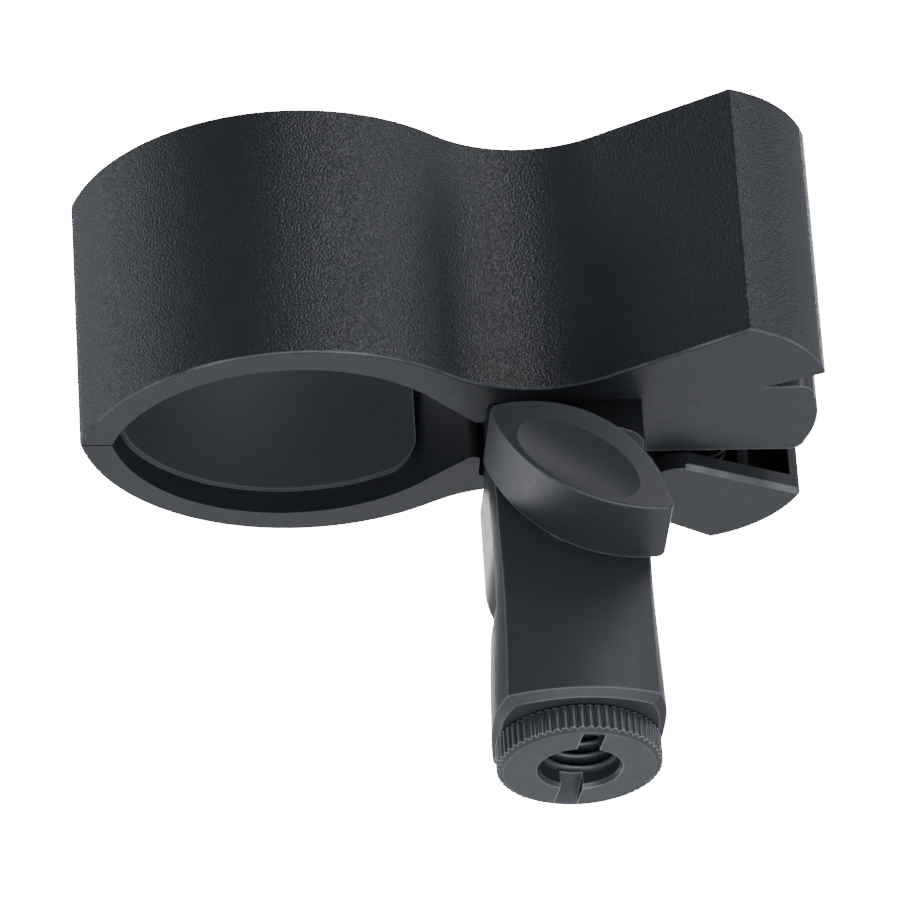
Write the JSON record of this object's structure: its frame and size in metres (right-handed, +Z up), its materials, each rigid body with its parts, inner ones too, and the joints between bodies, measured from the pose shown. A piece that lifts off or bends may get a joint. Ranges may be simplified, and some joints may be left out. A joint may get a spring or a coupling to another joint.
{
  "type": "microphone spring clamp with swivel stem",
  "caption": "Spring-loaded clothespin clamp for a handheld microphone, on a tilting swivel stem with a lens-shaped locking knob and a knurled stand-thread adapter.",
  "frame": {"origin": "centre of the thread adapter's lower face, where the stand's threaded stud enters", "axes": "+Z up along the stand thread, +X towards the two finger handles with the jaws' mouth at -X, -Y towards the locking knob"},
  "size_m": [0.0892, 0.0508, 0.079],
  "materials": {
    "grained_plastic": "moulded, fine leather grain on the outer sides, smooth satin ends",
    "satin_plastic": "moulded, smooth satin",
    "black_adapter": "black satin coated, knurled",
    "lining_rubber": "matt, fine grain",
    "brass": "turned",
    "zinc_steel": "bright zinc plated",
    "spring_steel": "drawn wire, blackened",
    "black_fibre": "matt pressed fibre"
  },
  "bodies": {
    "stand_base": {"thread_adapter": "black_adapter", "thread_insert": "brass", "stem": "satin_plastic", "front_friction_disc": "black_fibre", "rear_friction_disc": "black_fibre", "hex_nut": "zinc_steel"},
    "washer": {"knob_washer": "black_fibre"},
    "knob": {"knob": "satin_plastic", "knob_screw": "zinc_steel"},
    "clamp_body": {"centre_body": "satin_plastic", "front_hinge_pin": "zinc_steel", "rear_hinge_pin": "zinc_steel", "front_lower_spring": "spring_steel", "front_upper_spring": "spring_steel", "rear_lower_spring": "spring_steel", "rear_upper_spring": "spring_steel"},
    "front_jaw": {"front_jaw": "grained_plastic", "front_jaw_lining": "lining_rubber"},
    "rear_jaw": {"rear_jaw": "grained_plastic", "rear_jaw_lining": "lining_rubber"}
  },
  "joints": [
    {"name": "clamp_tilt", "type": "hinge", "parent": "stand_base", "child": "clamp_body", "pos_m": [0, 0, 0.028], "axis": [0, 1, 0], "range_deg": [-90, 90]},
    {"name": "knob_travel", "type": "slide", "parent": "stand_base", "child": "washer", "axis": [0, -1, 0], "range_m": [0, 0.00137]},
    {"name": "knob_turn", "type": "hinge", "parent": "washer", "child": "knob", "pos_m": [0, -0.019, 0.028], "axis": [0, 1, 0], "range_deg": [-495, 0]},
    {"name": "front_jaw_open", "type": "hinge", "parent": "clamp_body", "child": "front_jaw", "pos_m": [0.005, -0.005, 0.062], "axis": [0, 0, 1], "range_deg": [0, 18], "stiffness_Nm_per_rad": 0.6, "springref_deg": -28.65, "deforming": ["front_lower_spring", "front_upper_spring"]},
    {"name": "rear_jaw_open", "type": "hinge", "parent": "clamp_body", "child": "rear_jaw", "pos_m": [0.005, 0.005, 0.062], "axis": [0, 0, -1], "range_deg": [0, 18], "stiffness_Nm_per_rad": 0.6, "springref_deg": -28.65, "deforming": ["rear_lower_spring", "rear_upper_spring"]}
  ],
  "couplings": [
    {"joint": "knob_turn", "follows": "knob_travel", "rad_per_m": -6283.2}
  ]
}
